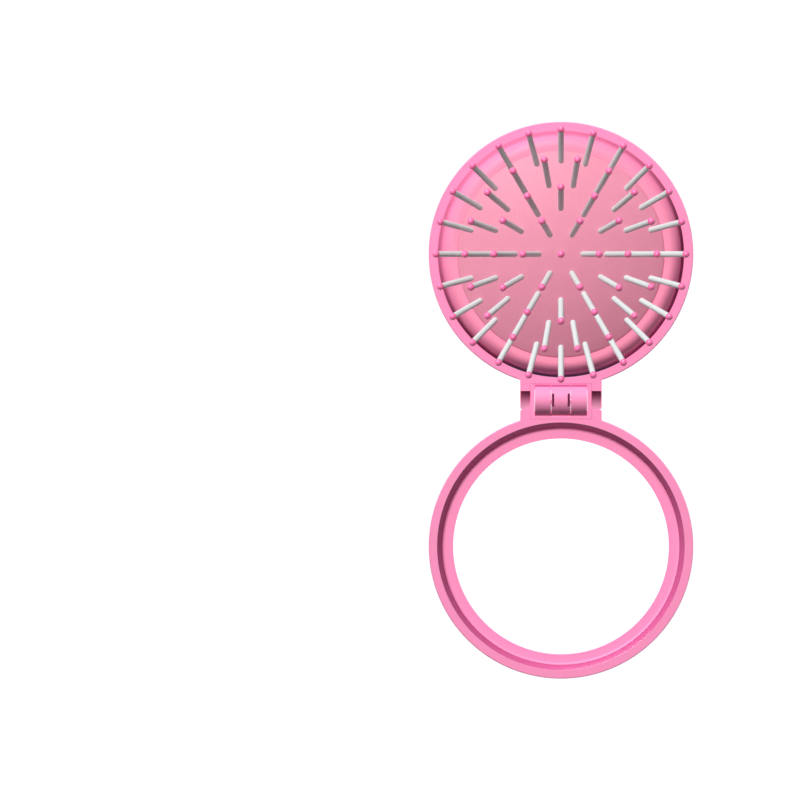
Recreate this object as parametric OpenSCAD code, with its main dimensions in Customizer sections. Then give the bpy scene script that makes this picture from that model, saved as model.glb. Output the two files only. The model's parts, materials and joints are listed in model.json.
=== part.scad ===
// Folding round hairbrush with a pop-up bristle pad and a mirror, lying open at 180 degrees.
// Millimetres. The hinge pin runs along X above the origin, the brush half lies towards +Y
// and the mirror half towards -Y. Both halves rest on z = 0, bristles and mirror facing up.

/* [Halves] */
// Outer radius of each round half
shell_r = 33; // [29.5:0.5:37]
// Depth of one half, from its back to the parting plane
half_depth = 14; // [12.6:0.1:17]
// Radius of the edge between a half's side and its back
edge_r = 10; // [8.5:0.1:10.5]
// Wall of the shells
wall = 1.5; // [1.2:0.1:1.6]
// Height of the pin's axis above the rims, half the gap between the closed rims
rim_gap = 0.05; // [0.02:0.01:0.1]
// Rounding of the rim's outer edge
rim_round = 0.2; // [0.1:0.1:0.8]

/* [Hinge] */
// From the pin's axis to the round outline of each half
hinge_offset = 3.45; // [3.2:0.05:3.8]
// Width of the hinge blocks
block_w = 20.3; // [19.6:0.1:22]
// Depth of the hinge blocks below the pin's axis
block_depth = 8; // [7.2:0.1:9]
// Small radius along the hinge blocks' edges
block_round = 0.65; // [0.3:0.05:0.9]
// From the pin to the end faces that stop the halves at 180 degrees
stop_reach = 2.3; // [2:0.1:2.4]
// Radius of the hollow in the top of the two ears
ear_hollow_r = 4.6; // [4:0.1:5]
// Thickness of the cheeks beside the knuckles
cheek_t = 1; // [0.8:0.1:1.3]
// Radius of the knuckles
knuckle_r = 3.85; // [3.5:0.05:4]
// Width of the middle knuckle
middle_w = 4.8; // [4:0.1:5.5]
// Width of each side knuckle
side_w = 4; // [3.5:0.1:4.4]
// Side play between knuckles
knuckle_play = 0.1; // [0.05:0.05:0.2]
// Gap around the knuckles, to the hinge blocks and the round shells
window_gap = 0.15; // [0.1:0.05:0.3]
// Radius of the steel pin
pin_r = 1; // [0.8:0.1:1.2]
// Radial play of the pin in the middle knuckle
pin_play = 0.05; // [0.02:0.01:0.1]
// Length of the two slots in the middle knuckle
slot_l = 3.3; // [2.6:0.1:3.8]
// Width of the two slots
slot_w = 0.55; // [0.35:0.05:0.7]
// Distance between the two slots' middles
slot_pitch = 3.9; // [3.4:0.1:3.9]
// Depth of the slots below the top of the knuckle
slot_depth = 1.6; // [1:0.1:2]

/* [Brush shell] */
// Width of the brush half's rim
rim_w = 2.2; // [2:0.1:3]
// Height of the rim above the membrane's groove
lip_h = 2.8; // [2.4:0.1:3]
// Depth of the groove behind the rim
groove_depth = 1.1; // [0.8:0.1:1.4]
// Thickness of the membrane's bead
bead_h = 1.4; // [1:0.1:1.6]
// Height of the clamp ring
clamp_h = 1.4; // [1:0.1:1.6]
// Radius of the finger opening in the back
well_r = 12; // [11:0.1:13]
// Rounding of the finger opening's outer edge
well_round = 0.7; // [0.3:0.1:1]
// Height of the collar around the finger opening
collar_h = 1; // [0.6:0.1:1.5]
// Thickness of that collar
collar_t = 1.2; // [0.8:0.1:1.6]

/* [Pad] */
// Radius of the membrane's rounded shoulder, between the rim and the pad
shoulder_r = 2.9; // [2.5:0.1:3.3]
// Lean of the membrane's wall, inwards from the rim to that shoulder
skirt_lean = 12; // [8:1:16]
// Width of the membrane's flat ring, between the shoulder and the pad
skirt_flat = 1; // [0.6:0.1:1.4]
// Height of that ring and of the pad's edge above the parting plane
pad_lift = 4.2; // [3.8:0.1:4.8]
// Rise of the pad's middle above its edge
pad_rise = 5.2; // [4.6:0.1:6]
// Thickness of the pad
pad_t = 2; // [1.6:0.1:2.2]
// Thickness of the membrane
membrane_t = 0.7; // [0.5:0.05:0.9]
// Lap of the joining ring under the pad's edge
ring_pad_lap = 1.5; // [1.1:0.1:1.8]
// Lap of the joining ring under the membrane
ring_skirt_lap = 1.05; // [0.8:0.05:1.2]
// Height of that ring
ring_h = 1.9; // [1.7:0.1:2]
// Fine seam left between glued parts
seam = 0.05; // [0.02:0.01:0.1]
// Gap between the push button and the finger opening
button_play = 0.4; // [0.2:0.1:1]
// Thickness of the push button's disc
button_t = 1.2; // [1:0.1:1.5]
// Radius of the push button's boss
boss_r = 2.4; // [2:0.1:2.8]
// Gap between the push button and the nearest bristle heads
button_gap = 0.4; // [0.2:0.05:0.8]

/* [Bristles] */
// Number of rings around the middle bristle
ring_count = 4; // [3:1:5]
// Foot radius of the innermost ring
foot_first = 5.6; // [5.2:0.1:6]
// From the feet of the outermost ring to the pad's edge
foot_margin = 2.5; // [2.2:0.1:3.2]
// Tip radius of the innermost ring
tip_first = 9.5; // [9:0.1:10]
// From the tips of the outermost ring to the outside of the half
tip_margin = 1.8; // [1.2:0.1:3]
// From a bristle's foot to the middle of its ball tip
bristle_l = 11; // [10.6:0.1:11.4]
// Radius of a bristle
bristle_r = 0.74; // [0.6:0.02:0.78]
// Radius of a ball tip
tip_r = 0.92; // [0.86:0.02:1]
// Bristle length below the pad's surface
root_l = 3.5; // [3.3:0.1:3.6]
// Radius of the head that holds a bristle in the pad
head_r = 1.2; // [1:0.05:1.3]
// Thickness of that head
head_t = 0.6; // [0.4:0.05:0.7]

/* [Mirror half] */
// Width of the mirror half's rim
mirror_rim_w = 2.1; // [1.8:0.1:2.6]
// Width of the sloped wall inside that rim
slope_w = 1.4; // [1:0.1:1.8]
// Depth of the bezel below the parting plane
recess_depth = 5; // [4.8:0.1:5.4]
// Width of the bezel around the mirror
bezel_w = 2.6; // [2.2:0.1:3.5]
// Thickness of the mirror
mirror_t = 1.8; // [1.2:0.1:2]
// Depth of the mirror's face below the bezel
mirror_set = 0.5; // [0.3:0.05:0.8]
// Thickness of the foam tape behind the mirror
tape_t = 0.6; // [0.4:0.1:0.8]
// From the mirror's edge to the foam tape
tape_margin = 3; // [1:0.5:6]
// Floor of the mirror frame
frame_floor = 1; // [0.8:0.1:1.2]
// Gap around the mirror and around its frame
fit_gap = 0.1; // [0.05:0.01:0.15]
// Radius of a post that carries the mirror frame
post_r = 1.5; // [1.2:0.1:2]
// Number of those posts
post_count = 8; // [6:1:12]

/* [Heart] */
// Width of the heart on the back of the mirror half
heart_w = 47.8; // [44:0.1:48]
// Radius of the heart's two lobes
lobe_r = 13.2; // [12:0.1:14]
// Height of the lobes' middles above the shell's middle
lobe_rise = 4.3; // [3.5:0.1:5]
// Drop of the heart's point below the shell's middle
point_drop = 25; // [23:0.1:25.5]
// Radius of the heart's gently curved sides
flank_r = 300; // [150:10:600]
// Depth of the heart's recess in the shell
heart_recess = 0.7; // [0.5:0.05:0.8]
// Thickness of the heart inlay
heart_t = 0.5; // [0.3:0.05:0.5]

/* [Hidden] */
$fn = 96;

shell_pink = "#F996C1";
pad_salmon = "#EB9AB0";
nylon_white = "#E8ECEB";
tip_pink = "#FF6FB3";
heart_pink = "#E44B94";

eps = 0.01;

// Halves
straight_depth = half_depth - edge_r;
edge_centre_r = shell_r - edge_r;
inner_floor = half_depth - wall;
hinge_reach = shell_r + hinge_offset;

// Hinge
knuckles_half = middle_w / 2 + knuckle_play + side_w;
window_half = knuckles_half + knuckle_play;
cheek_half = window_half + cheek_t;
window_reach = knuckle_r + window_gap;
block_inner = hinge_reach - sqrt(pow(shell_r - wall, 2) - block_w * block_w / 4);
beyond = 2 * block_w;

// Brush half
lip_r = shell_r - rim_w;
groove_r = lip_r + groove_depth;
clamp_low = -lip_h - bead_h - clamp_h;
skirt_r = lip_r - fit_gap;
shoulder_z = pad_lift - shoulder_r;
shoulder_x = skirt_r
    - (shoulder_r + (lip_h + shoulder_z) * sin(skirt_lean)) / cos(skirt_lean);
pad_r = shoulder_x - skirt_flat;
pad_dome_r = (pad_r * pad_r + pad_rise * pad_rise) / (2 * pad_rise);
pad_dome_z = pad_lift + pad_rise - pad_dome_r;

// Bristles, ring 1 is the innermost. Ring n holds 6 * n of them: one on each of six spokes,
// and n - 1 in each wedge between two spokes
SPOKES = 6;
ball_seat = sqrt(tip_r * tip_r - bristle_r * bristle_r);
foot_pitch = (pad_r - foot_margin - foot_first) / (ring_count - 1);
tip_pitch = (shell_r - tip_margin - tip_first) / (ring_count - 1);
function foot_r(ring) = foot_first + (ring - 1) * foot_pitch;
function tip_ring_r(ring) = tip_first + (ring - 1) * tip_pitch;
function foot_z(r) = pad_dome_z + sqrt(pad_dome_r * pad_dome_r - r * r);
function tilt(ring) = asin((tip_ring_r(ring) - foot_r(ring)) / bristle_l);
function head_low_z(ring) =
    foot_z(foot_r(ring)) - root_l * cos(tilt(ring)) - head_r * sin(tilt(ring));
function spoke_angle(k) = (k - 1) * 360 / SPOKES;

// Push button, below the heads of the second ring, the lowest ones above its disc
button_r = well_r - button_play;
button_top_z = head_low_z(2) - button_gap;
button_rest_z = button_top_z - button_t;

// Mirror half
recess_top_r = shell_r - mirror_rim_w;
recess_r = recess_top_r - slope_w;
mirror_r = recess_r - bezel_w;
frame_r = recess_r - fit_gap;
pocket_r = mirror_r + fit_gap;
pocket_depth = mirror_set + mirror_t + tape_t;
frame_back = recess_depth + pocket_depth + frame_floor;

// Heart: each flank is an arc that leaves a lobe smoothly and ends at the point
lobe_x = heart_w / 2 - lobe_r;
point = [0, -point_drop];
lobe = [lobe_x, lobe_rise];
lobe_to_point = norm(point - lobe);
along = (flank_r * flank_r - pow(flank_r - lobe_r, 2) + lobe_to_point * lobe_to_point)
    / (2 * lobe_to_point);
across = sqrt(flank_r * flank_r - along * along);
toward = (lobe - point) / lobe_to_point;
flank_centre = point + along * toward + across * [-toward[1], toward[0]];
flank_end = flank_centre + flank_r * (lobe - flank_centre) / (flank_r - lobe_r);

// ---------------------------------------------------------------- frames of reference

module at_hinge() {
    translate([0, 0, half_depth + rim_gap]) children();
}

module at_brush() {
    translate([0, hinge_reach, half_depth]) children();
}

// Turned so that the hinge lies towards -Y of each half's own frame
module at_mirror() {
    translate([0, -hinge_reach, half_depth]) rotate([0, 0, 180]) children();
}

// ---------------------------------------------------------------- shared forms

// Half section of the round pebble form, drawn in from its outside by inset
module pebble_section(inset) {
    translate([0, -straight_depth]) square([shell_r - inset, straight_depth]);
    translate([0, inset - half_depth]) square([edge_centre_r, half_depth - inset]);
    intersection() {
        translate([edge_centre_r, -straight_depth]) circle(edge_r - inset);
        translate([0, -half_depth]) square([shell_r, half_depth]);
    }
}

// Half section of a shell's outside, with its rim's outer edge rounded
module outside_section() {
    intersection() {
        pebble_section(0);
        union() {
            translate([0, -half_depth]) square([shell_r - rim_round, half_depth]);
            translate([0, -half_depth]) square([shell_r, half_depth - rim_round]);
            translate([shell_r - rim_round, -rim_round]) circle(rim_round, $fn = 48);
        }
    }
}

// Solid along X with its section in Y and Z
module along_x(from_x, to_x) {
    translate([from_x, 0, 0])
        rotate([90, 0, 90]) linear_extrude(to_x - from_x) children();
}

// Rectangle between two corners, its two lower corners rounded by r
module soft_bottom(low, high, r) {
    size = high - low;
    translate(low + [0, r]) square(size - [0, r]);
    translate(low + [r, 0]) square(size - [2 * r, 0]);
    for (x = [low[0] + r, high[0] - r])
        translate([x, low[1] + r]) circle(r, $fn = 48);
}

// Hinge block, from end_reach to inside the shell. Its outlines along Y, X and Z are each
// carried through the block and intersected, which rounds its lower and end edges
module hinge_block(end_reach, end_round) {
    half_w = block_w / 2;
    intersection() {
        rotate([90, 0, 0]) translate([0, 0, -block_inner])
            linear_extrude(block_inner - end_reach)
                soft_bottom([-half_w, -block_depth], [half_w, -rim_gap], block_round);
        along_x(-half_w, half_w)
            soft_bottom([end_reach, -block_depth], [block_inner + end_round, 0], end_round);
        translate([0, 0, -block_depth]) linear_extrude(block_depth)
            soft_bottom([-half_w, end_reach], [half_w, block_inner], block_round);
    }
}

// Room for the knuckles in a hinge block and in the round shell behind it, open to the
// outside below them
module knuckle_window() {
    along_x(-window_half, window_half) {
        translate([-beyond, -window_reach]) square([beyond + window_reach, block_depth]);
        translate([-beyond, -beyond]) square([beyond + stop_reach + block_round / 2, beyond]);
    }
}

// Section of a knuckle with the flat arm that ties it to its block
module knuckle_section(bore_r) {
    difference() {
        union() {
            circle(knuckle_r);
            translate([0, -knuckle_r]) square([window_reach + eps, knuckle_r - rim_gap]);
        }
        circle(bore_r);
    }
}

// ---------------------------------------------------------------- brush half

module brush_shell() {
    color(shell_pink) {
        difference() {
            union() {
                at_brush() rotate_extrude() outside_section();
                at_hinge() difference() {
                    hinge_block(-stop_reach, 2 * block_round);
                    ear_hollows();
                }
            }
            at_hinge() knuckle_window();
            at_brush() rotate_extrude() brush_cavity_section();
        }
        at_hinge() difference() {
            along_x(-middle_w / 2, middle_w / 2) knuckle_section(pin_r + pin_play);
            middle_slots();
        }
        at_brush() well_collar();
    }
}

// Quarter-round hollows in the tops of the ears, outside the cheeks
module ear_hollows() {
    for (side = [-1, 1])
        along_x(side > 0 ? cheek_half : -beyond, side > 0 ? beyond : -cheek_half)
            translate([-stop_reach, 0]) circle(ear_hollow_r);
}

module middle_slots() {
    for (side = [-1, 1])
        translate([side * slot_pitch / 2 - slot_w / 2, -slot_l / 2, knuckle_r - slot_depth])
            cube([slot_w, slot_l, slot_depth]);
}

// Half section of the brush shell's inside, with the rim, the groove and the finger opening
module brush_cavity_section() {
    translate([0, -lip_h]) square([lip_r, lip_h + eps]);
    translate([0, clamp_low]) square([groove_r, bead_h + clamp_h]);
    intersection() {
        pebble_section(wall);
        translate([0, -half_depth]) square([shell_r, half_depth + clamp_low + eps]);
    }
    translate([0, -half_depth - eps]) square([well_r, half_depth]);
    difference() {
        translate([0, -half_depth - eps]) square([well_r + well_round, well_round]);
        translate([well_r + well_round, well_round - half_depth]) circle(well_round, $fn = 48);
    }
}

module well_collar() {
    rotate_extrude() translate([well_r, -inner_floor]) square([collar_t, collar_h]);
}

module clamp_ring() {
    color(shell_pink) at_brush() rotate_extrude()
        translate([lip_r + fit_gap, clamp_low + seam])
            square([groove_depth - 2 * fit_gap, clamp_h - seam]);
}

// Half section of what the membrane covers, drawn in from the membrane's outside by inset
module covered_section(inset) {
    wall_r = skirt_r - inset / cos(skirt_lean);
    bend_r = shoulder_r - inset;
    polygon([
        [0, -lip_h - bead_h], [wall_r, -lip_h - bead_h], [wall_r, -lip_h],
        [shoulder_x + bend_r * cos(skirt_lean), shoulder_z + bend_r * sin(skirt_lean)],
        [shoulder_x, shoulder_z + bend_r], [0, shoulder_z + bend_r]
    ]);
    translate([shoulder_x, shoulder_z]) circle(bend_r);
}

module pad_skirt() {
    color(shell_pink) at_brush() rotate_extrude() {
        translate([skirt_r - membrane_t, -lip_h - bead_h])
            square([groove_r - skirt_r + membrane_t - fit_gap, bead_h - seam]);
        difference() {
            covered_section(0);
            covered_section(membrane_t);
            translate([-eps, -half_depth]) square([pad_r + seam + eps, 2 * half_depth]);
        }
    }
}

// Half section of the domed pad, grown on every side by gap
module pad_section(gap) {
    intersection() {
        difference() {
            translate([0, pad_dome_z]) circle(pad_dome_r + gap, $fn = 360);
            translate([0, pad_dome_z]) circle(pad_dome_r - pad_t - gap, $fn = 360);
        }
        translate([0, -half_depth]) square([pad_r + gap, 2 * half_depth]);
    }
}

module pad_ring() {
    color(shell_pink) at_brush() rotate_extrude() difference() {
        intersection() {
            translate([pad_r - ring_pad_lap, pad_lift - membrane_t - seam - ring_h])
                square([ring_pad_lap + ring_skirt_lap, ring_h + seam]);
            covered_section(membrane_t + seam);
        }
        pad_section(seam);
    }
}

module bristle_pad() {
    color(pad_salmon) at_brush() difference() {
        rotate_extrude() pad_section(0);
        for (k = [1:SPOKES]) {
            on_spoke(k) pad_hole();
            on_wedge(k) pad_hole();
        }
        translate([0, 0, foot_z(0)]) pad_hole();
    }
}

module pad_hole() {
    translate([0, 0, -2 * pad_t]) cylinder(h = 4 * pad_t, r = bristle_r + seam);
}

module push_button() {
    boss_top_z = foot_z(boss_r) - pad_t - 2 * seam;
    color(shell_pink) at_brush() difference() {
        union() {
            translate([0, 0, button_rest_z]) cylinder(h = button_t, r = button_r);
            translate([0, 0, button_rest_z])
                cylinder(h = boss_top_z - button_rest_z, r = boss_r);
        }
        translate([0, 0, foot_z(0) - root_l]) cylinder(h = root_l, r = bristle_r);
    }
}

// ---------------------------------------------------------------- bristles

// Puts its children at the foot of a bristle, with Z along the bristle
module at_foot(ring, angle) {
    rotate([0, 0, angle]) translate([foot_r(ring), 0, foot_z(foot_r(ring))])
        rotate([0, tilt(ring), 0]) children();
}

module on_spoke(k) {
    for (ring = [1:ring_count]) at_foot(ring, spoke_angle(k)) children();
}

module on_wedge(k) {
    for (ring = [2:ring_count], place = [1:ring - 1])
        at_foot(ring, spoke_angle(k + place / ring)) children();
}

module bristle() {
    translate([0, 0, -root_l]) cylinder(h = root_l + bristle_l - ball_seat, r = bristle_r);
    translate([0, 0, -root_l]) cylinder(h = head_t, r = head_r);
}

module ball_tip() {
    translate([0, 0, bristle_l]) intersection() {
        sphere(tip_r);
        translate([-tip_r, -tip_r, -ball_seat]) cube(2 * tip_r + ball_seat);
    }
}

module bristles_spoke(k) {
    color(nylon_white) at_brush() on_spoke(k) bristle();
}

module bristles_wedge(k) {
    color(nylon_white) at_brush() on_wedge(k) bristle();
}

module tips_spoke(k) {
    color(tip_pink) at_brush() on_spoke(k) ball_tip();
}

module tips_wedge(k) {
    color(tip_pink) at_brush() on_wedge(k) ball_tip();
}

module bristle_centre() {
    color(nylon_white) at_brush() translate([0, 0, foot_z(0) - root_l])
        cylinder(h = root_l + bristle_l - ball_seat, r = bristle_r);
}

module tip_centre() {
    color(tip_pink) at_brush() translate([0, 0, foot_z(0)]) ball_tip();
}

// ---------------------------------------------------------------- mirror half

module mirror_shell() {
    color(shell_pink) {
        difference() {
            union() {
                at_mirror() rotate_extrude() outside_section();
                at_hinge() rotate([0, 0, 180]) hinge_block(stop_reach, block_round);
            }
            at_hinge() rotate([0, 0, 180]) knuckle_window();
            at_mirror() rotate_extrude() mirror_cavity_section();
            at_mirror() difference() {
                heart_prism(0);
                rotate_extrude() pebble_section(heart_recess);
            }
        }
        at_hinge() rotate([0, 0, 180]) for (side = [-1, 1])
            along_x(
                side > 0 ? middle_w / 2 + knuckle_play : -knuckles_half,
                side > 0 ? knuckles_half : -middle_w / 2 - knuckle_play
            ) knuckle_section(pin_r);
        at_mirror() frame_posts();
    }
}

// Half section of the mirror shell's inside: the sloped wall and the hollow below it
module mirror_cavity_section() {
    polygon([
        [0, eps], [recess_top_r, eps], [recess_top_r, 0],
        [recess_r, -recess_depth], [0, -recess_depth]
    ]);
    intersection() {
        pebble_section(wall);
        translate([0, -half_depth]) square([recess_r, half_depth - recess_depth + eps]);
    }
}

// Posts on the edge of the flat floor, up to the back of the mirror frame
module frame_posts() {
    for (i = [0:post_count - 1])
        rotate([0, 0, (i + 0.5) * 360 / post_count])
            translate([edge_centre_r, 0, -inner_floor - eps])
                cylinder(h = inner_floor + eps - frame_back, r = post_r);
}

module mirror_frame() {
    color(shell_pink) at_mirror() difference() {
        translate([0, 0, -frame_back]) cylinder(h = frame_back - recess_depth, r = frame_r);
        translate([0, 0, -recess_depth - pocket_depth])
            cylinder(h = pocket_depth + eps, r = pocket_r);
    }
}

module mirror_tape() {
    color("white") at_mirror() translate([0, 0, -recess_depth - pocket_depth])
        cylinder(h = tape_t, r = mirror_r - tape_margin);
}

module mirror_glass() {
    color("#F4F6F7") at_mirror()
        translate([0, 0, -recess_depth - mirror_set - mirror_t])
            cylinder(h = mirror_t, r = mirror_r);
}

// Heart outline about the shell's middle, its lobes towards -Y, drawn in by inset
module heart_outline(inset) {
    rotate(180) {
        for (side = [-1, 1])
            translate([side * lobe_x, lobe_rise]) circle(lobe_r - inset);
        intersection() {
            translate(flank_centre) circle(flank_r - inset, $fn = 360);
            mirror([1, 0]) translate(flank_centre) circle(flank_r - inset, $fn = 360);
            polygon([
                lobe, [-lobe_x, lobe_rise], [-flank_end[0], flank_end[1]],
                [-flank_end[0], -2 * point_drop], [flank_end[0], -2 * point_drop], flank_end
            ]);
        }
    }
}

// The heart carried through the back of the shell
module heart_prism(inset) {
    translate([0, 0, -half_depth - eps]) linear_extrude(wall + eps) heart_outline(inset);
}

module heart_inlay() {
    color(heart_pink) at_mirror() difference() {
        intersection() {
            heart_prism(seam);
            rotate_extrude() pebble_section(heart_recess - heart_t);
        }
        rotate_extrude() pebble_section(heart_recess);
    }
}

module hinge_pin() {
    color("silver") at_hinge() along_x(seam - knuckles_half, knuckles_half - seam) circle(pin_r);
}

// ---------------------------------------------------------------- nodes

brush_shell();
clamp_ring();
pad_skirt();
pad_ring();
bristle_pad();
push_button();
bristle_centre();
tip_centre();
for (k = [1:SPOKES]) {
    bristles_spoke(k);
    bristles_wedge(k);
    tips_spoke(k);
    tips_wedge(k);
}
mirror_shell();
mirror_frame();
mirror_tape();
mirror_glass();
heart_inlay();
hinge_pin();
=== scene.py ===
"""Looks of a round folding hairbrush with a pop-up bristle pad and a mirror.

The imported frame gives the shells, the hinge, the bristles and the mirror their shape, and this
script gives them their finishes. The flexible membrane, the domed bristle pad and the bezel
around the mirror are modelled here. Lengths are in metres, +Z up, with the hinge pin along X
above the origin.
"""

from __future__ import annotations

import json
import logging
import math
from abc import ABC, abstractmethod
from dataclasses import dataclass
from enum import Enum
from typing import Any

import bmesh
import bpy
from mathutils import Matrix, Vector

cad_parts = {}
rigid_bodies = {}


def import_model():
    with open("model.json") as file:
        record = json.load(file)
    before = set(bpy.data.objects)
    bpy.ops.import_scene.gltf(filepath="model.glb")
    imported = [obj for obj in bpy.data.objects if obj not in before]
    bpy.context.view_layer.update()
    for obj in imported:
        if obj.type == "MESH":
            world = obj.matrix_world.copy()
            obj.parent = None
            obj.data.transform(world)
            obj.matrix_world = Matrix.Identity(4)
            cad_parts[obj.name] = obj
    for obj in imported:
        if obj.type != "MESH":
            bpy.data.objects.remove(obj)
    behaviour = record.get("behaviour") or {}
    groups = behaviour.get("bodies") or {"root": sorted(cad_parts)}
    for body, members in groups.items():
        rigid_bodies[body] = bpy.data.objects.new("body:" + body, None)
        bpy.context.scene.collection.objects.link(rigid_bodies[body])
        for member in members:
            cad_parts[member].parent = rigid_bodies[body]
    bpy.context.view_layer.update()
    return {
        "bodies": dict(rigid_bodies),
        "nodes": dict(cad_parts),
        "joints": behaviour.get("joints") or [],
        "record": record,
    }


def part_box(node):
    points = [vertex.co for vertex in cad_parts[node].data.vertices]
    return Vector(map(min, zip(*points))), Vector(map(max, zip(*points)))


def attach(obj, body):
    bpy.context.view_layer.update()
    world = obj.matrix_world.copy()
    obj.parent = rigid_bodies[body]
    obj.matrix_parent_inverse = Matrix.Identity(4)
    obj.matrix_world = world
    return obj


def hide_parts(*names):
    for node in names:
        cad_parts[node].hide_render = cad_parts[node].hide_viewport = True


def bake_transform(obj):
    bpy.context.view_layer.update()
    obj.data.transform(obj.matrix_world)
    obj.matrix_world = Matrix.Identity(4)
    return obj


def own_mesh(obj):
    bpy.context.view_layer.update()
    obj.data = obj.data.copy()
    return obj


log = logging.getLogger("hairbrush")

MM = 0.001

# Radius of the lip in the brush half's rim, against which the membrane's wall stands.
LIP_RADIUS = 30.7 * MM
# Height of the pin's axis over the parting plane of the two halves.
PIN_RISE = 0.05 * MM
# Distance that a zone of deeper colour keeps from the plane of a face that it must not reach.
MARGIN = 0.05 * MM
# Number of steps in a full turn of a turned form.
TURNS = 192

Colour = tuple[float, float, float, float]
Frame = dict[str, Any]


def paint(code: str) -> Colour:
    """Turns an sRGB colour code into linear values.

    Args:
        code: Six hexadecimal digits, red first.

    Returns:
        Red, green, blue and an alpha of 1.
    """
    shares = [int(code[i : i + 2], 16) / 255 for i in (0, 2, 4)]
    linear = [s / 12.92 if s <= 0.04045 else ((s + 0.055) / 1.055) ** 2.4 for s in shares]
    return (*linear, 1.0)


# ------------------------------------------------------------------------------ shader bench


class Signal:
    """A shader socket that Python arithmetic can use; each operator adds one Math node."""

    def __init__(self, bench: Bench, socket: bpy.types.NodeSocket) -> None:
        """Wraps an output socket of a bench's tree."""
        self.bench = bench
        self.socket = socket

    def _maths(self, operation: str, first: Signal | float, second: Signal | float) -> Signal:
        """Adds a Math node.

        Args:
            operation: The node's operation.
            first: Its first value.
            second: Its second value.

        Returns:
            The node's result.
        """
        node = self.bench.node("ShaderNodeMath", {"operation": operation}, {0: first, 1: second})
        return self.bench.signal(node)

    def __add__(self, other: Signal | float) -> Signal:
        """Adds a value."""
        return self._maths("ADD", self, other)

    def __radd__(self, other: float) -> Signal:
        """Is added to a number."""
        return self._maths("ADD", other, self)

    def __sub__(self, other: Signal | float) -> Signal:
        """Takes a value away."""
        return self._maths("SUBTRACT", self, other)

    def __rsub__(self, other: float) -> Signal:
        """Is taken away from a number."""
        return self._maths("SUBTRACT", other, self)

    def __mul__(self, other: Signal | float) -> Signal:
        """Multiplies by a value."""
        return self._maths("MULTIPLY", self, other)

    def __rmul__(self, other: float) -> Signal:
        """Multiplies a number."""
        return self._maths("MULTIPLY", other, self)

    def highest(self, other: Signal | float) -> Signal:
        """Keeps the larger of two values."""
        return self._maths("MAXIMUM", self, other)

    def below(self, limit: Signal | float) -> Signal:
        """Gives 1 where the value is less than a limit, and 0 elsewhere."""
        return self._maths("LESS_THAN", self, limit)

    def above(self, limit: Signal | float) -> Signal:
        """Gives 1 where the value is at least a limit, and 0 elsewhere."""
        return 1 - self.below(limit)

    def between(self, low: float, high: float) -> Signal:
        """Gives 1 where the value lies between two limits, and 0 elsewhere."""
        return self.below(high) * self.above(low)

    def near(self, middle: float, reach: float) -> Signal:
        """Gives 1 where the value is less than a reach away from a middle, and 0 elsewhere."""
        return (self - middle).size().below(reach)

    def size(self) -> Signal:
        """Drops the value's sign."""
        return self.highest(self * -1)

    def spread(self, middle: float, width: float) -> Signal:
        """Makes a share from 0 to 1 run over a width about a middle."""
        return self * width + (middle - width / 2)


class Bench:
    """The node tree of one material or of the world."""

    def __init__(self, tree: bpy.types.NodeTree) -> None:
        """Clears a tree to start from nothing."""
        self.tree = tree
        tree.nodes.clear()

    def node(
        self,
        kind: str,
        settings: dict[str, Any] | None = None,
        inputs: dict[str | int, Any] | None = None,
    ) -> bpy.types.Node:
        """Adds a node.

        Args:
            kind: The node's type.
            settings: Its own properties, or "stops" for the two ends of a ramp.
            inputs: Values or signals for its sockets.

        Returns:
            The new node.
        """
        node = self.tree.nodes.new(kind)
        for key, value in (settings or {}).items():
            if key == "stops":
                for element, (position, colour) in zip(node.color_ramp.elements, value):
                    element.position = position
                    element.color = colour
            else:
                setattr(node, key, value)
        for key, value in (inputs or {}).items():
            if isinstance(value, Signal):
                self.tree.links.new(value.socket, node.inputs[key])
            else:
                node.inputs[key].default_value = value
        return node

    def signal(self, node: bpy.types.Node, output: str | int = 0) -> Signal:
        """Wraps one output of a node."""
        return Signal(self, node.outputs[output])

    def place(self) -> Signal:
        """Gives a point's place on the piece, as a vector in metres."""
        return self.signal(self.node("ShaderNodeTexCoord"), "Object")

    def coordinates(self) -> tuple[Signal, Signal, Signal]:
        """Gives the three coordinates of a point on the piece, in metres."""
        split = self.node("ShaderNodeSeparateXYZ", None, {0: self.place()})
        return self.signal(split, 0), self.signal(split, 1), self.signal(split, 2)

    def noise(self, grain: float, detail: float = 2.0) -> Signal:
        """Makes an even mottling fixed to the piece.

        Args:
            grain: Size of one blot, in metres.
            detail: Number of finer layers.

        Returns:
            Values around one half.
        """
        inputs = {"Vector": self.place(), "Scale": 1 / grain, "Detail": detail}
        return self.signal(self.node("ShaderNodeTexNoise", None, inputs))

    def tint(self, share: Signal, low: str, high: str) -> Signal:
        """Runs a colour from low to high along a value.

        Args:
            share: From 0 to 1.
            low: Colour code at 0.
            high: Colour code at 1.

        Returns:
            The colour.
        """
        stops = [(0.0, paint(low)), (1.0, paint(high))]
        return self.signal(self.node("ShaderNodeValToRGB", {"stops": stops}, {0: share}))

    def blend(self, share: Signal, first: Signal, second: Signal | Colour) -> Signal:
        """Mixes two colours.

        Args:
            share: Share of the second one.
            first: Colour where the share is 0.
            second: Colour where it is 1.

        Returns:
            The mixed colour.
        """
        inputs = {0: share, 6: first, 7: second}
        return self.signal(self.node("ShaderNodeMix", {"data_type": "RGBA"}, inputs), 2)

    def emboss(self, height: Signal, depth: float, normal: Signal | None = None) -> Signal:
        """Turns a height into a bumped normal.

        Args:
            height: The relief, from 0 to 1.
            depth: Its depth in metres.
            normal: A normal to start from.

        Returns:
            The normal.
        """
        inputs = {"Height": height, "Strength": 1.0, "Distance": depth}
        if normal is not None:
            inputs["Normal"] = normal
        return self.signal(self.node("ShaderNodeBump", None, inputs))

    def surface(self, inputs: dict[str, Any]) -> Signal:
        """Makes a surface shader from values and signals for its sockets."""
        return self.signal(self.node("ShaderNodeBsdfPrincipled", None, inputs))


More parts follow.
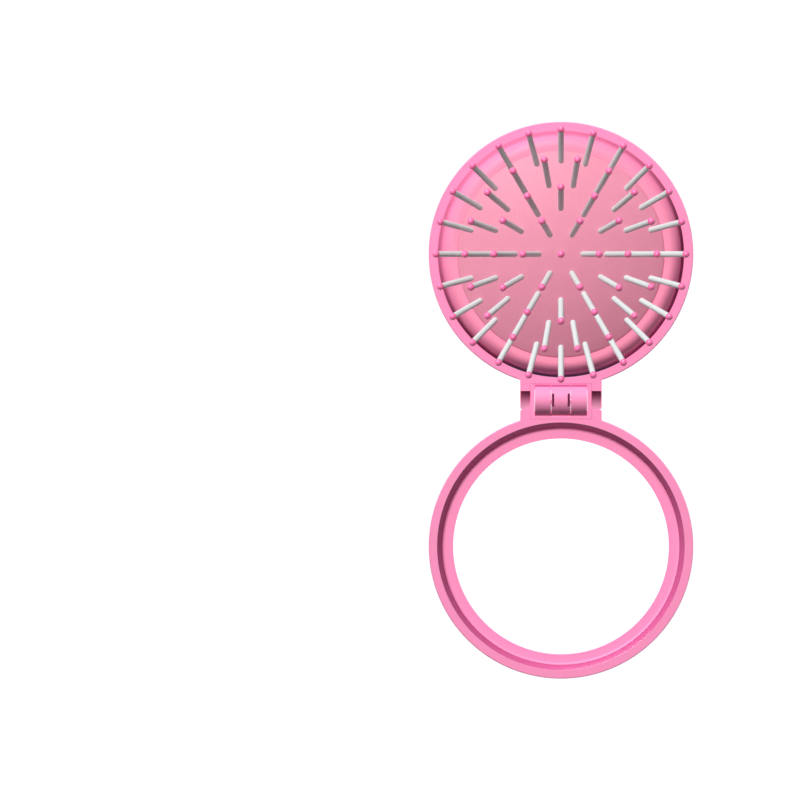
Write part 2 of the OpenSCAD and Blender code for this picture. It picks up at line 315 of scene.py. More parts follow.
# ------------------------------------------------------------------------------ finishes


def middle_of(node: str) -> Vector:
    """Gives the middle of a node's box."""
    low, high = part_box(node)
    return (low + high) / 2


def reach_of(first: Signal, second: Signal, centre: float) -> Signal:
    """Gives the squared distance from a centre line.

    Args:
        first: Coordinate that is 0 on the centre line.
        second: The other coordinate.
        centre: Its value on the centre line.

    Returns:
        The squared distance.
    """
    out = second - centre
    return first * first + out * out


class Finish(ABC):
    """A finish of the object, which becomes one material."""

    name: str

    @abstractmethod
    def dress(self, bench: Bench) -> Signal:
        """Builds the finish's nodes and returns its shader."""

    def material(self) -> bpy.types.Material:
        """Makes the material the first time, and gives it back after that."""
        made = bpy.data.materials.get(self.name)
        if made is None:
            made = bpy.data.materials.new(self.name)
            made.use_nodes = True
            bench = Bench(made.node_tree)
            surface = self.dress(bench)
            bench.node("ShaderNodeOutputMaterial", None, {"Surface": surface})
        return made


@dataclass(frozen=True)
class MouldedPlastic(Finish):
    """Opaque moulded plastic with a satin gloss and softly rounded edges.

    Attributes:
        name: The material's name.
        deep: Colour code of the darker clouds.
        light: Colour code of the lighter clouds.
        roughness: Middle value of the roughness.
        unevenness: Width over which the roughness varies.
        specular: Strength of the gloss.
        edge: Radius to which edges look rounded.
        edge_samples: Number of rays that look for an edge.
        cloud: Size of one cloud of colour.
        grain: Size of one grain.
        relief: Depth of the grain.
    """

    name: str
    deep: str
    light: str
    roughness: float = 0.38
    unevenness: float = 0.08
    specular: float = 0.1
    edge: float = 0.12 * MM
    edge_samples: int = 16
    cloud: float = 9 * MM
    grain: float = 0.35 * MM
    relief: float = 0.004 * MM

    def colour(self, bench: Bench) -> Signal:
        """Builds a slightly clouded colour."""
        return bench.tint(bench.noise(self.cloud), self.deep, self.light)

    def dress(self, bench: Bench) -> Signal:
        """Builds the colour, an uneven gloss and a fine grain."""
        grain = bench.noise(self.grain, detail=4.0)
        soft = bench.node("ShaderNodeBevel", {"samples": self.edge_samples}, {"Radius": self.edge})
        return bench.surface(
            {
                "Base Color": self.colour(bench),
                "Roughness": grain.spread(self.roughness, self.unevenness),
                "Specular IOR Level": self.specular,
                "Normal": bench.emboss(grain, self.relief, bench.signal(soft)),
            }
        )


@dataclass(frozen=True)
class Spot:
    """A point of a shell, with what its colour depends on.

    Attributes:
        x: Its distance from the middle plane, with its sign.
        y: Its coordinate from the hinge to the brush half.
        z: Its height.
        side: Its distance from the middle plane.
        under: 1 where it lies below the parting plane, and 0 elsewhere.
        parting: Height of the parting plane.
    """

    x: Signal
    y: Signal
    z: Signal
    side: Signal
    under: Signal
    parting: float

    @classmethod
    def on(cls, bench: Bench) -> Spot:
        """Finds the point that a material's bench gives its colour."""
        x, y, z = bench.coordinates()
        parting = middle_of("hinge_pin").z - PIN_RISE
        return cls(x, y, z, x.size(), z.below(parting - MARGIN), parting)


@dataclass(frozen=True)
class ShellPlastic(MouldedPlastic):
    """The shells' plastic, with painted shade: a deeper colour on the recess wall, in the crevices
    and in the ears' hollows.

    Attributes:
        crevice_painted_shade: Colour code of the knuckle's slots and of the gap by the mirror
            half.
        recess: Colour code of the shade painted on the recess wall around the mirror and on the
            seam.
        hollow_painted_shade_low: Colour code at the bottom of the ears' hollows.
        hollow_painted_shade_high: Colour code at their top.
        hollow_share: Share of a hollow's depth over which its colour turns.
        line: Colour code of the fine line around the knuckles.
        lip_painted_shade: Colour code of the lip that the membrane's foot stands against.
        lip_reach: Half the width of the lip.
        lip_edge: Depth at which the lip's deeper colour starts.
        lip_depth: Depth at which it ends.
        recess_width: Width of the sloped wall around the mirror.
        slot_middle: Distance of the slots from the middle plane.
        slot_reach: Half the width of a slot.
        slot_depth: Depth of a slot, from the top of the knuckle.
        ear_middle: Distance of the ears from the middle plane.
        ear_reach: Half the width of an ear's hollow.
        hollow_radius: Radius of an ear's quarter-round hollow, half of it on each side of the pin.
        line_half_width: Half the width of the fine line's frame.
        line_half_length: Half its length.
        line_shift: Where its middle lies along Y, from the pin.
        line_reach: Half the thickness of the line.
        seam_middle: Distance of the seam and of the gap from the pin.
        seam_reach: Half the width of both.
        seam_half_width: Half the length of the seam.
        gap_half_width: Half the length of the gap.
        gap_depth: Depth of the gap under the parting plane.
    """

    # Painted shade: the slots and the gap are coloured dark, as if in shadow.
    crevice_painted_shade: str = "6E2848"
    # Painted shade: the recess wall and the seam get a deeper pink.
    recess: str = "C4538A"
    # Painted shade: the ears' hollows run from a greyer pink at the bottom to near black at the
    # top.
    hollow_painted_shade_low: str = "C897B0"
    hollow_painted_shade_high: str = "4A2A3A"
    hollow_share: float = 2 / 3
    line: str = "DE7DA6"
    # Painted shade: the lip in the crevice by the membrane's foot is coloured dark.
    lip_painted_shade: str = "5C3050"
    lip_reach: float = 0.25 * MM
    lip_edge: float = 0.25 * MM
    lip_depth: float = 2.9 * MM
    recess_width: float = 1.6 * MM
    slot_middle: float = 1.95 * MM
    slot_reach: float = 0.32 * MM
    slot_depth: float = 1.6 * MM
    ear_middle: float = 8.85 * MM
    ear_reach: float = 1.1 * MM
    hollow_radius: float = 4.6 * MM
    line_half_width: float = 7.7 * MM
    line_half_length: float = 4.43 * MM
    line_shift: float = -0.25 * MM
    line_reach: float = 0.08 * MM
    seam_middle: float = 3.62 * MM
    seam_reach: float = 0.26 * MM
    seam_half_width: float = 6.5 * MM
    gap_half_width: float = 5.9 * MM
    gap_depth: float = 5.0 * MM

    def _lip(self, spot: Spot) -> Signal:
        """Marks the lip above the membrane's foot, where a dark shade is painted."""
        inner, outer = LIP_RADIUS - self.lip_reach, LIP_RADIUS + self.lip_reach
        reach = reach_of(spot.x, spot.y, middle_of("pad_skirt").y)
        low, high = spot.parting - self.lip_depth, spot.parting - self.lip_edge
        return reach.between(inner**2, outer**2) * spot.z.between(low, high)

    def _slots(self, spot: Spot) -> Signal:
        """Marks the two slots in the middle knuckle, where a dark shade is painted."""
        pin = middle_of("hinge_pin").z
        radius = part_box("brush_shell")[1].z - pin - MARGIN
        inside = reach_of(spot.y, spot.z, pin).below(radius**2)
        inside = inside * spot.z.above(pin + radius - self.slot_depth)
        return spot.side.near(self.slot_middle, self.slot_reach) * inside

    def _recess(self, spot: Spot) -> Signal:
        """Marks the sloped wall around the mirror, where a deeper shade is painted."""
        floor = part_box("mirror_frame")[1]
        reach = reach_of(spot.x, spot.y, middle_of("mirror_glass").y)
        wall = reach.between(floor.x**2, (floor.x + self.recess_width) ** 2)
        return wall * spot.under * spot.z.above(floor.z)

    def _seam(self, spot: Spot) -> Signal:
        """Marks the seam between the knuckles and the brush half, where a deeper shade is painted.
        """
        seam = spot.y.near(self.seam_middle, self.seam_reach)
        return seam * spot.side.below(self.seam_half_width) * (1 - spot.under)

    def _gap(self, spot: Spot) -> Signal:
        """Marks the gap between the knuckles and the mirror half, where a dark shade is painted.
        """
        gap = spot.y.near(-self.seam_middle, self.seam_reach)
        gap = gap * spot.side.below(self.gap_half_width) * spot.under
        return gap * spot.z.above(spot.parting - self.gap_depth)

    def _ears(self, spot: Spot) -> Signal:
        """Marks the hollows in the tops of the ears, where shade is painted, darker towards the
        top.
        """
        inside = spot.y.size().below(self.hollow_radius / 2 - MARGIN)
        return spot.side.near(self.ear_middle, self.ear_reach) * inside * spot.under

    def _line(self, spot: Spot) -> Signal:
        """Marks the fine line that frames the knuckles."""
        across = spot.side - self.line_half_width
        along = (spot.y - self.line_shift).size() - self.line_half_length
        return across.highest(along).size().below(self.line_reach) * (1 - spot.under)

    def colour(self, bench: Bench) -> Signal:
        """Builds the clouded colour, with painted shade on the recess wall, in the crevices and in
        the ears' hollows, and a fine line.
        """
        spot = Spot.on(bench)
        bottom = spot.parting - self.hollow_radius
        height = (spot.z - bottom) * (1 / (self.hollow_share * self.hollow_radius))
        # Painted shade for the ears' hollows, darker towards the top.
        hollow = bench.tint(height, self.hollow_painted_shade_low, self.hollow_painted_shade_high)
        # Painted shade: a deeper pink on the recess wall and the seam.
        recess = self._recess(spot).highest(self._seam(spot))
        shade = bench.blend(recess, super().colour(bench), paint(self.recess))
        shade = bench.blend(self._ears(spot), shade, hollow)
        shade = bench.blend(self._line(spot), shade, paint(self.line))
        # Painted shade: a dark lip by the membrane's foot.
        shade = bench.blend(self._lip(spot), shade, paint(self.lip_painted_shade))
        # Painted shade: dark slots and a dark gap by the mirror half.
        return bench.blend(self._slots(spot).highest(self._gap(spot)), shade, paint(self.crevice_painted_shade))


@dataclass(frozen=True)
class MembraneRubber(MouldedPlastic):
    """The membrane's smooth rubber, with shade painted as a deeper colour towards its foot and by
    the hinge.

    Attributes:
        foot: Colour code of the shade painted at the foot.
        foot_width: Width of the band at the foot that has its full colour.
        fade: Width over which that colour fades inwards.
        hinge_painted_shade: Colour code at the foot by the hinge.
        hinge_start: Distance from the middle, towards the hinge, at which it starts.
        hinge_fade: Distance over which it comes in.
    """

    # Painted shade: a deeper pink towards the membrane's foot.
    foot: str = "F684B0"
    foot_width: float = 2.1 * MM
    fade: float = 2.3 * MM
    # Painted shade: a greyer, darker pink at the membrane's foot by the hinge.
    hinge_painted_shade: str = "A885A0"
    hinge_start: float = 25.5 * MM
    hinge_fade: float = 4.1 * MM

    def colour(self, bench: Bench) -> Signal:
        """Builds the clouded colour, with shade painted deeper outwards near the foot, and deeper
        still by the hinge.
        """
        x, y, _ = bench.coordinates()
        low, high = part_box("pad_skirt")
        outside = (high.x - low.x) / 2
        start = (outside - self.foot_width - self.fade) ** 2
        end = (outside - self.foot_width) ** 2
        centre = middle_of("pad_skirt").y
        share = (reach_of(x, y, centre) - start) * (1 / (end - start))
        near = ((centre - self.hinge_start) - y) * (1 / self.hinge_fade)
        # Painted shade, deepening outwards near the foot.
        shade = bench.blend(share, super().colour(bench), paint(self.foot))
        # Painted shade at the foot by the hinge.
        return bench.blend(share * near.highest(0), shade, paint(self.hinge_painted_shade))


@dataclass(frozen=True)
class SatinRubber(Finish):
    """Rubber with a visible fine grain.

    Attributes:
        name: The material's name.
        deep: Colour code of the grain's hollows.
        light: Colour code of its tops.
        roughness: Middle value of the roughness.
        unevenness: Width over which the roughness varies.
        specular: Strength of the gloss.
        grain: Size of one grain.
        fineness: Size of the finest grain, as a share of it.
        fine_share: Share of the finest grain in the relief.
        relief: Depth of the grain.
    """

    name: str
    deep: str
    light: str
    roughness: float = 0.5
    unevenness: float = 0.16
    specular: float = 0.5
    grain: float = 0.45 * MM
    fineness: float = 0.3
    fine_share: float = 0.3
    relief: float = 0.012 * MM

    def dress(self, bench: Bench) -> Signal:
        """Builds the grain in colour, gloss and relief."""
        grain = bench.noise(self.grain, detail=3.0)
        fine = bench.noise(self.grain * self.fineness)
        relief = grain * (1 - self.fine_share) + fine * self.fine_share
        return bench.surface(
            {
                "Base Color": bench.tint(relief, self.deep, self.light),
                "Roughness": relief.spread(self.roughness, self.unevenness),
                "Specular IOR Level": self.specular,
                "Normal": bench.emboss(relief, self.relief),
            }
        )


@dataclass(frozen=True)
class DrawnNylon(Finish):
    """White nylon filament, faintly streaked.

    Attributes:
        name: The material's name.
        deep: Colour code of the darker streaks.
        light: Colour code of the lighter streaks.
        roughness: Middle value of the roughness.
        unevenness: Width over which the roughness varies.
        specular: Strength of the gloss.
        streak: Size of one streak.
        relief: Depth of the streaks.
    """

    name: str
    deep: str
    light: str
    roughness: float = 0.35
    unevenness: float = 0.1
    specular: float = 0.15
    streak: float = 0.5 * MM
    relief: float = 0.004 * MM

    def dress(self, bench: Bench) -> Signal:
        """Builds a nearly even white with a soft gloss."""
        cloud = bench.noise(self.streak)
        return bench.surface(
            {
                "Base Color": bench.tint(cloud, self.deep, self.light),
                "Roughness": cloud.spread(self.roughness, self.unevenness),
                "Specular IOR Level": self.specular,
                "Normal": bench.emboss(cloud, self.relief),
            }
        )


@dataclass(frozen=True)
class SilveredGlass(Finish):
    """Mirror glass: the silver behind it gives back nearly everything.

    Attributes:
        name: The material's name.
        colour: Colour code of the silver.
        roughness: Middle value of the roughness.
        unevenness: Width over which the roughness varies.
        haze: Size of one patch of haze.
    """

    name: str
    colour: str
    roughness: float = 0.015
    unevenness: float = 0.02
    haze: float = 6 * MM

    def dress(self, bench: Bench) -> Signal:
        """Builds a clean mirror with a trace of haze."""
        haze = bench.noise(self.haze)
        return bench.surface(
            {
                "Base Color": paint(self.colour),
                "Metallic": 1.0,
                "Roughness": haze.spread(self.roughness, self.unevenness),
            }
        )


@dataclass(frozen=True)
class DrawnSteel(Finish):
    """Drawn steel wire.

    Attributes:
        name: The material's name.
        colour: Colour code of the metal.
        roughness: Middle value of the roughness.
        unevenness: Width over which the roughness varies.
        mark: Size of one drawing mark.
        relief: Depth of the marks.
    """

    name: str
    colour: str
    roughness: float = 0.35
    unevenness: float = 0.2
    mark: float = 0.2 * MM
    relief: float = 0.003 * MM

    def dress(self, bench: Bench) -> Signal:
        """Builds a grey metal with drawing marks."""
        marks = bench.noise(self.mark)
        return bench.surface(
            {
                "Base Color": paint(self.colour),
                "Metallic": 1.0,
                "Roughness": marks.spread(self.roughness, self.unevenness),
                "Normal": bench.emboss(marks, self.relief),
            }
        )


class Palette(Enum):
    """Every finish of the brush."""

    SHELL = ShellPlastic("shell_plastic_look", "FB93BF", "FF97C3")
    FRAME = MouldedPlastic("frame_plastic_look", "FB93BF", "FF97C3")
    BUTTON = MouldedPlastic("button_plastic_look", "FB93BF", "FF97C3")
    MEMBRANE = MembraneRubber("membrane_look", "FB93B2", "FF97B6", edge=0.02 * MM)
    HEART = MouldedPlastic("heart_look", "DC2F83", "E2388B", roughness=0.3, specular=0.25)
    TIP = MouldedPlastic(
        "ball_tip_look", "FF6CA8", "FF74AE", roughness=0.3, specular=0.6, edge=0.01 * MM
    )
    PAD = SatinRubber("pad_rubber_look", "D6829A", "E896AD", specular=0.2)
    TAPE = SatinRubber("foam_tape_look", "E8E8E6", "F6F6F4", roughness=0.8)
    BRISTLE = DrawnNylon("bristle_nylon_look", "C8D0CF", "CED6D5")
    MIRROR = SilveredGlass("mirror_look", "F4F6F7")
    STEEL = DrawnSteel("pin_steel_look", "C8CACC")


# ------------------------------------------------------------------------------ turned forms


class Turning:
    """A turned form: a closed line drawn as radius and height, revolved about Z.

    Attributes:
        SAME: Distance at which two corners become one.
        ON_RING: Distance at which a corner counts as lying on a ring.
        SHARP: Angle above which an edge stays sharp, in degrees.
    """

    SAME = 1e-7
    ON_RING = 1e-3 * MM
    SHARP = 40.0

    def __init__(self, radius: float, height: float) -> None:
        """Starts the line at a point."""
        self.mesh = bmesh.new()
        self.end = self.mesh.verts.new((radius, 0, height))

    def line(self, radius: float, height: float, pieces: int = 1) -> Turning:
        """Draws a straight stretch.

        Args:
            radius: Radius of its end.
            height: Height of its end.
            pieces: Number of equal pieces.

        Returns:
            The form itself.
        """
        step = (Vector((radius, 0, height)) - self.end.co) / pieces
        for _ in range(pieces):
            self.end = bmesh.ops.extrude_vert_indiv(self.mesh, verts=[self.end])["verts"][0]
            bmesh.ops.translate(self.mesh, verts=[self.end], vec=step)
        return self

    def arc(self, radius: float, height: float, degrees: float, steps: int) -> Turning:
        """Draws an arc about a centre.

        Args:
            radius: Radius of the centre.
            height: Height of the centre.
            degrees: Angle, positive from +Z towards +X.
            steps: Number of pieces.

        Returns:
            The form itself.
        """
        made = bmesh.ops.spin(
            self.mesh,
            geom=[self.end],
            cent=(radius, 0, height),
            axis=(0, 1, 0),
            angle=math.radians(degrees),
            steps=steps,
        )
        self.end = next(e for e in made["geom_last"] if isinstance(e, bmesh.types.BMVert))
        return self

    def revolve(self, steps: int) -> Turning:
        """Turns the line once about Z and closes the surface.

        Args:
            steps: Number of steps in the full turn.

        Returns:
            The form itself.
        """
        bmesh.ops.remove_doubles(self.mesh, verts=self.mesh.verts[:], dist=self.SAME)
        bmesh.ops.spin(
            self.mesh,
            geom=self.mesh.verts[:] + self.mesh.edges[:],
            cent=(0, 0, 0),
            axis=(0, 0, 1),
            angle=math.tau,
            steps=steps,
            use_merge=True,
        )
        bmesh.ops.remove_doubles(self.mesh, verts=self.mesh.verts[:], dist=self.SAME)
        bmesh.ops.recalc_face_normals(self.mesh, faces=self.mesh.faces[:])
        return self

    def soften(self, radius: float, height: float, width: float, segments: int = 3) -> Turning:
        """Rounds the ring of edges at a radius and height.

        Args:
            radius: Radius of the ring.
            height: Height of the ring.
            width: Width of the rounding.
            segments: Its number of strips.

        Returns:
            The form itself.
        """

        def on_ring(corner: bmesh.types.BMVert) -> bool:
            """Tells whether a corner lies on the ring."""
            near = abs(corner.co.xy.length - radius) < self.ON_RING
            return near and abs(corner.co.z - height) < self.ON_RING

        ring = [e for e in self.mesh.edges if all(on_ring(v) for v in e.verts)]
        bmesh.ops.bevel(
            self.mesh,
            geom=ring,
            offset=width,
            offset_type="OFFSET",
            segments=segments,
            profile=0.5,
            affect="EDGES",
            material=-1,
        )
        return self

    def piece(self, name: str, centre: Vector, finish: Palette) -> bpy.types.Object:
        """Ends the form as an object.

        Args:
            name: The piece's name.
            centre: Where the form's axis and zero height go.
            finish: Its finish.

        Returns:
            The object, at the origin, with its place in its mesh.
        """
        bmesh.ops.translate(self.mesh, verts=self.mesh.verts[:], vec=centre)
        data = bpy.data.meshes.new(name)
        self.mesh.to_mesh(data)
        self.mesh.free()
        data.shade_smooth()
        data.set_sharp_from_angle(angle=math.radians(self.SHARP))
        data.materials.append(finish.value.material())
        made = bpy.data.objects.new(name, data)
        bpy.context.scene.collection.objects.link(made)
        log.info("%s: %d faces", name, len(data.polygons))
        return made


# ------------------------------------------------------------------------------ sub-assemblies


def dress_node(frame: Frame, node: str, finish: Palette) -> None:
    """Gives a node of the frame its finish.

    Args:
        frame: The loaded frame.
        node: The node's name.
        finish: The finish for all its material slots.
    """
    for held in frame["nodes"][node].material_slots:
        held.material = finish.value.material()
    log.info("%s: %s", node, finish.value.name)


@dataclass
class BrushHalf:
    """The half with the membrane, the pad and the push button.

    Attributes:
        bead_depth: Height of the bead at the membrane's foot.
        wall_lean: Angle at which the membrane's wall leans in, in degrees.
        shoulder: Radius of the membrane's shoulder.
        thickness: Thickness of the membrane.
        seam: Gap between the membrane and its neighbours.
        pad_thickness: Thickness of the pad.
        pad_round: Width of the rounding of the pad's edge.
        dome_keep: Share of the dome's height that is left when the pad is in. Not used.
        rings: Number of steps from the pad's middle to its edge.
        arc_steps: Number of steps in the membrane's shoulder.
        wall_steps: Number of steps in its wall.
        flat_steps: Number of steps in its flat ring.
    """

    bead_depth: float = 1.4 * MM
    wall_lean: float = 12.0
    shoulder: float = 2.9 * MM
    thickness: float = 0.7 * MM
    seam: float = 0.05 * MM
    pad_thickness: float = 2.0 * MM
    pad_round: float = 0.18 * MM
    dome_keep: float = 0.1
    rings: int = 40
    arc_steps: int = 26
    wall_steps: int = 8
    flat_steps: int = 3

    def __post_init__(self) -> None:
        """Reads the half's place and main sizes from the frame."""
        low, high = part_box("pad_skirt")
        self.centre = Vector(((low.x + high.x) / 2, (low.y + high.y) / 2, 0))
        self.bead_radius = (high.x - low.x) / 2
        self.edge_height = high.z
        self.bead_low = low.z
        pad_low, pad_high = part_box("bristle_pad")
        self.pad_radius = (pad_high.x - pad_low.x) / 2
        self.pad_top = pad_high.z
        self.wall_low = low.z + self.bead_depth

    def membrane(self) -> bpy.types.Object:
        """Makes the membrane: bead, leaning wall, rounded shoulder and flat ring.

        Returns:
            The piece, which bends between the shell and the pad.
        """
        lean = math.radians(self.wall_lean)
        bend = 90 - self.wall_lean
        inner = self.pad_radius + self.seam
        bend_z = self.edge_height - self.shoulder
        rise = self.shoulder + (bend_z - self.wall_low) * math.sin(lean)
        bend_r = LIP_RADIUS - rise / math.cos(lean)
        wall_in = LIP_RADIUS - self.thickness / math.cos(lean)
        under = self.shoulder - self.thickness
        foot_r = bend_r + under * math.cos(lean)
        foot_z = bend_z + under * math.sin(lean)
        bead_top = self.wall_low - self.seam
        form = Turning(inner, self.edge_height)
        form.line(bend_r, self.edge_height, self.flat_steps)
        form.arc(bend_r, bend_z, bend, self.arc_steps)
        form.line(LIP_RADIUS, self.wall_low, self.wall_steps)
        form.line(LIP_RADIUS, bead_top).line(self.bead_radius, bead_top)
        form.line(self.bead_radius, self.bead_low).line(wall_in, self.bead_low)
        form.line(wall_in, self.wall_low).line(foot_r, foot_z, self.wall_steps)
        form.arc(bend_r, bend_z, -bend, self.arc_steps)
        form.line(inner, self.edge_height - self.thickness, self.flat_steps)
        form.line(inner, self.edge_height).revolve(TURNS)
        made = form.piece("membrane", self.centre, Palette.MEMBRANE)
        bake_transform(made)
        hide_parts("pad_skirt")
        return made

    def pad(self) -> bpy.types.Object:
        """Makes the domed pad of even thickness.

        Returns:
            The piece, which moves with the pad's carrier.
        """
        rise = self.pad_top - self.edge_height
        dome = (self.pad_radius**2 + rise**2) / (2 * rise)
        spread = math.degrees(math.asin(self.pad_radius / dome))
        middle = self.pad_top - dome
        under = dome - self.pad_thickness
        under_spread = math.degrees(math.asin(self.pad_radius / under))
        under_edge = middle + math.sqrt(under**2 - self.pad_radius**2)
        form = Turning(0, self.pad_top)
        form.arc(0, middle, spread, self.rings).line(self.pad_radius, under_edge)
        form.arc(0, middle, -under_spread, self.rings // 2).revolve(TURNS)
        form.soften(self.pad_radius, self.edge_height, self.pad_round)
        made = form.piece("domed_pad", self.centre, Palette.PAD)
        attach(made, "pad_carrier")
        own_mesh(made)
        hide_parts("bristle_pad")
        return made

    def build(self, frame: Frame) -> None:
        """Makes the soft pieces and dresses the rigid ones."""
        self.membrane()
        self.pad()
        dress_node(frame, "brush_shell", Palette.SHELL)
        dress_node(frame, "clamp_ring", Palette.FRAME)
        dress_node(frame, "pad_ring", Palette.FRAME)
        dress_node(frame, "push_button", Palette.BUTTON)


@dataclass
class Bristles:
    """The bristles and their ball tips, grouped by direction.

    Attributes:
        stems: How the names of the bristles' nodes start.
        tips: How the names of the tips' nodes start.
    """

    stems: tuple[str, ...] = ("bristle_centre", "bristles_")
    tips: tuple[str, ...] = ("tip_centre", "tips_")

    def build(self, frame: Frame) -> None:
        """Dresses every group, which throws no shadow on the pad."""
        for node in sorted(frame["nodes"]):
            if node.startswith(self.stems):
                dress_node(frame, node, Palette.BRISTLE)
            elif node.startswith(self.tips):
                dress_node(frame, node, Palette.TIP)
            else:
                continue
            frame["nodes"][node].visible_shadow = False


@dataclass
class MirrorHalf:
    """The half with the mirror, its frame and the heart on its outside.

    Attributes:
        fit_gap: Gap around the mirror's frame and around the glass.
        slope_width: Width of the sloped wall around the frame.
        cove: Radius of the cove at the wall's foot.
        cove_gap: Gap between the cove's top and the wall.
        cove_steps: Number of steps in the cove.
    """

    fit_gap: float = 0.1 * MM
    slope_width: float = 1.4 * MM
    cove: float = 0.85 * MM
    cove_gap: float = 0.02 * MM
    cove_steps: int = 10

    def bezel(self) -> bpy.types.Object:
        """Makes the mirror's frame, with a small cove up to the sloped wall around it.

        Returns:
            The piece, a round tray whose rim is the bezel.
        """
        low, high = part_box("mirror_frame")
        glass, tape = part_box("mirror_glass")[0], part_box("mirror_tape")[0]
        depth = middle_of("hinge_pin").z - high.z
        slope = self.slope_width / depth
        bend = math.atan2(depth, self.slope_width)
        top = high.z + self.cove * (1 - math.cos(bend))
        wall = -low.x + self.fit_gap - self.cove_gap + slope * (top - high.z)
        start = wall - self.cove * math.sin(bend)
        pocket = -glass.x + self.fit_gap
        form = Turning(0, low.z).line(-low.x, low.z).line(-low.x, high.z).line(wall, top)
        form.arc(start, high.z + self.cove, math.degrees(bend), self.cove_steps)
        form.line(pocket, high.z).line(pocket, tape.z).line(0, tape.z)
        form.revolve(TURNS)
        centre = Vector((0, middle_of("mirror_glass").y, 0))
        made = form.piece("mirror_bezel", centre, Palette.FRAME)
        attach(made, "mirror_half")
        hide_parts("mirror_frame")
        return made

    def build(self, frame: Frame) -> None:
        """Makes the bezel and dresses the half's other pieces."""
        self.bezel()
        dress_node(frame, "mirror_shell", Palette.SHELL)
        dress_node(frame, "mirror_tape", Palette.TAPE)
        dress_node(frame, "mirror_glass", Palette.MIRROR)
        dress_node(frame, "heart_inlay", Palette.HEART)
        dress_node(frame, "hinge_pin", Palette.STEEL)


# ------------------------------------------------------------------------------ studio


@dataclass(frozen=True)
class Softbox:
    """A round lamp that hangs over the object.

    Attributes:
        name: The lamp's name.
        azimuth: Its direction, in degrees from +X towards +Y.
        tilt: Its angle from straight up, in degrees.
        spread: Half the angle that it fills, in degrees.
        level: Its brightness, where 1 is a white surface.
        shadow: Whether it throws shadows.
        distance: From the object to the lamp, in metres.
    """

    name: str
    azimuth: float
    tilt: float
    spread: float
    level: float
    shadow: bool = False
    distance: float = 4.0

    def hang(self, target: Vector) -> None:
        """Makes the lamp and turns it to its target."""
        turn, lean = math.radians(self.azimuth), math.radians(self.tilt)
        way = Vector(
            (math.sin(lean) * math.cos(turn), math.sin(lean) * math.sin(turn), math.cos(lean))
        )
        radius = self.distance * math.tan(math.radians(self.spread))
        lamp = bpy.data.lights.new(self.name, "AREA")
        lamp.shape = "DISK"
        lamp.size = 2 * radius
        lamp.energy = self.level * (math.pi * radius) ** 2
        lamp.use_shadow = self.shadow
        held = bpy.data.objects.new(self.name, lamp)
        held.location = target + way * self.distance
        held.rotation_euler = way.to_track_quat("Z", "Y").to_euler()
        bpy.context.scene.collection.objects.link(held)


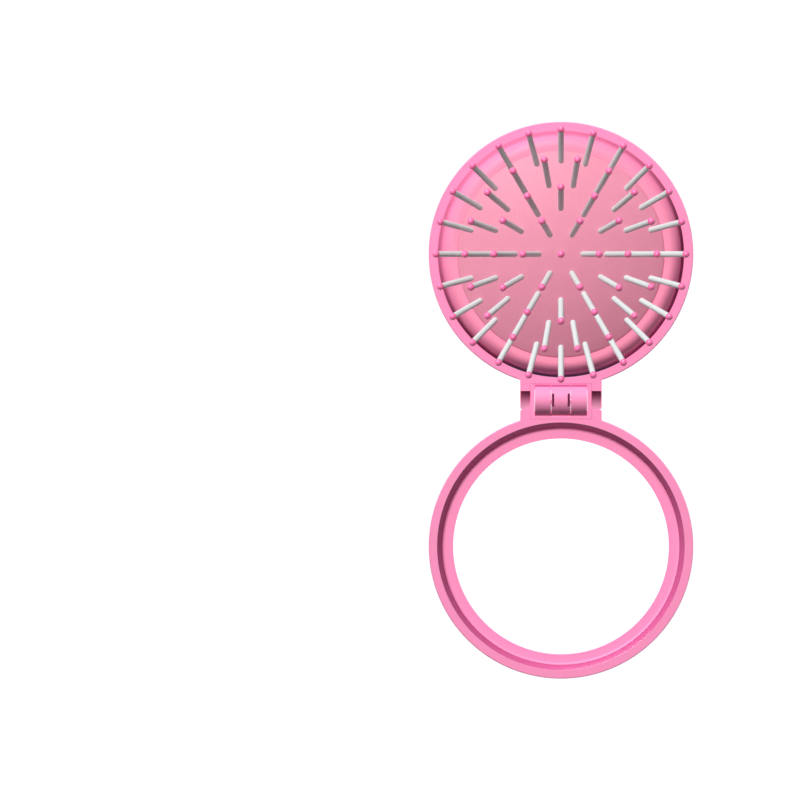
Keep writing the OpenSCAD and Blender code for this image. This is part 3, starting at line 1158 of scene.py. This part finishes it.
@dataclass
class Studio:
    """Camera, lamps, pale floor and white surroundings.

    Attributes:
        view_width: Width of the camera's view, in metres.
        view_x: Where the middle of the view lies along X.
        view_y: Where it lies along Y.
        camera_height: Height of the camera over the table.
        ambient: Strength of the surroundings as a light on the object.
        floor_size: Side of the floor.
        floor_drop: Depth of the floor under the table's plane.
        floor_grey: Brightness of the floor where lamps light it.
        floor_glow: Strength of the floor's own white.
        floor_share: Share of that white where the floor is seen.
        lamps: The lamps.
    """

    view_width: float = 0.1996
    view_x: float = -0.04016
    view_y: float = 0.00006
    camera_height: float = 1.0
    ambient: float = 0.02
    floor_size: float = 3.0
    floor_drop: float = 0.05 * MM
    floor_grey: float = 0.85
    floor_glow: float = 1.05
    floor_share: float = 0.86
    lamps: tuple[Softbox, ...] = (
        Softbox("ceiling_softbox", azimuth=0, tilt=0, spread=40, level=0.1, shadow=True),
        Softbox("top_softbox", azimuth=113, tilt=15, spread=30, level=0.15),
        Softbox("key_softbox", azimuth=113, tilt=46, spread=16, level=16.6),
    )

    def camera(self) -> None:
        """Makes the camera, which looks straight down."""
        lens = bpy.data.cameras.new("camera")
        lens.type = "ORTHO"
        lens.ortho_scale = self.view_width
        held = bpy.data.objects.new("camera", lens)
        held.location = (self.view_x, self.view_y, self.camera_height)
        bpy.context.scene.collection.objects.link(held)
        bpy.context.scene.camera = held

    @staticmethod
    def _seen(bench: Bench) -> Signal:
        """Makes a mask of the rays that see the background: direct, mirrored or through."""
        path = bench.node("ShaderNodeLightPath")
        glossy = bench.signal(path, "Is Glossy Ray")
        through = bench.signal(path, "Is Transmission Ray")
        sharp = bench.signal(path, "Diffuse Depth").below(1)
        return bench.signal(path, "Is Camera Ray").highest(glossy.highest(through) * sharp)

    def world(self) -> None:
        """Makes surroundings that look white and light the object gently."""
        world = bpy.data.worlds.new("studio")
        world.use_nodes = True
        bench = Bench(world.node_tree)
        strength = self._seen(bench) * (1 - self.ambient) + self.ambient
        white = {"Color": (1, 1, 1, 1), "Strength": strength}
        sky = bench.signal(bench.node("ShaderNodeBackground", None, white))
        bench.node("ShaderNodeOutputWorld", None, {"Surface": sky})
        bpy.context.scene.world = world

    def floor(self) -> None:
        """Makes the floor, white where it is seen, with a faint shadow of the object."""
        form = bmesh.new()
        bmesh.ops.create_grid(form, x_segments=1, y_segments=1, size=self.floor_size / 2)
        bmesh.ops.translate(form, verts=form.verts[:], vec=(0, 0, -self.floor_drop))
        data = bpy.data.meshes.new("floor")
        form.to_mesh(data)
        form.free()
        data.materials.append(self._floor_white())
        floor = bpy.data.objects.new("floor", data)
        bpy.context.scene.collection.objects.link(floor)

    def _floor_white(self) -> bpy.types.Material:
        """Makes the floor's material: matt grey, with a white of its own where it is seen."""
        made = bpy.data.materials.new("floor_white")
        made.use_nodes = True
        bench = Bench(made.node_tree)
        grey = (self.floor_grey, self.floor_grey, self.floor_grey, 1)
        matt = bench.signal(bench.node("ShaderNodeBsdfDiffuse", None, {"Color": grey}))
        glow = bench.signal(bench.node("ShaderNodeEmission", None, {"Strength": self.floor_glow}))
        share = self._seen(bench) * self.floor_share
        mixed = bench.node("ShaderNodeMixShader", None, {0: share, 1: matt, 2: glow})
        bench.node("ShaderNodeOutputMaterial", None, {"Surface": bench.signal(mixed)})
        return made

    def build(self) -> None:
        """Sets up the whole studio."""
        self.camera()
        self.world()
        self.floor()
        for lamp in self.lamps:
            lamp.hang(Vector((0, 0, 0)))
        bpy.context.scene.view_settings.view_transform = "Standard"


def main() -> None:
    """Builds the object's looks and its studio."""
    logging.basicConfig(level=logging.INFO, format="%(name)s %(message)s")
    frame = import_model()
    Studio().build()
    for part in (BrushHalf(), Bristles(), MirrorHalf()):
        log.info("%s", type(part).__name__)
        part.build(frame)


if __name__ == "__main__":
    main()
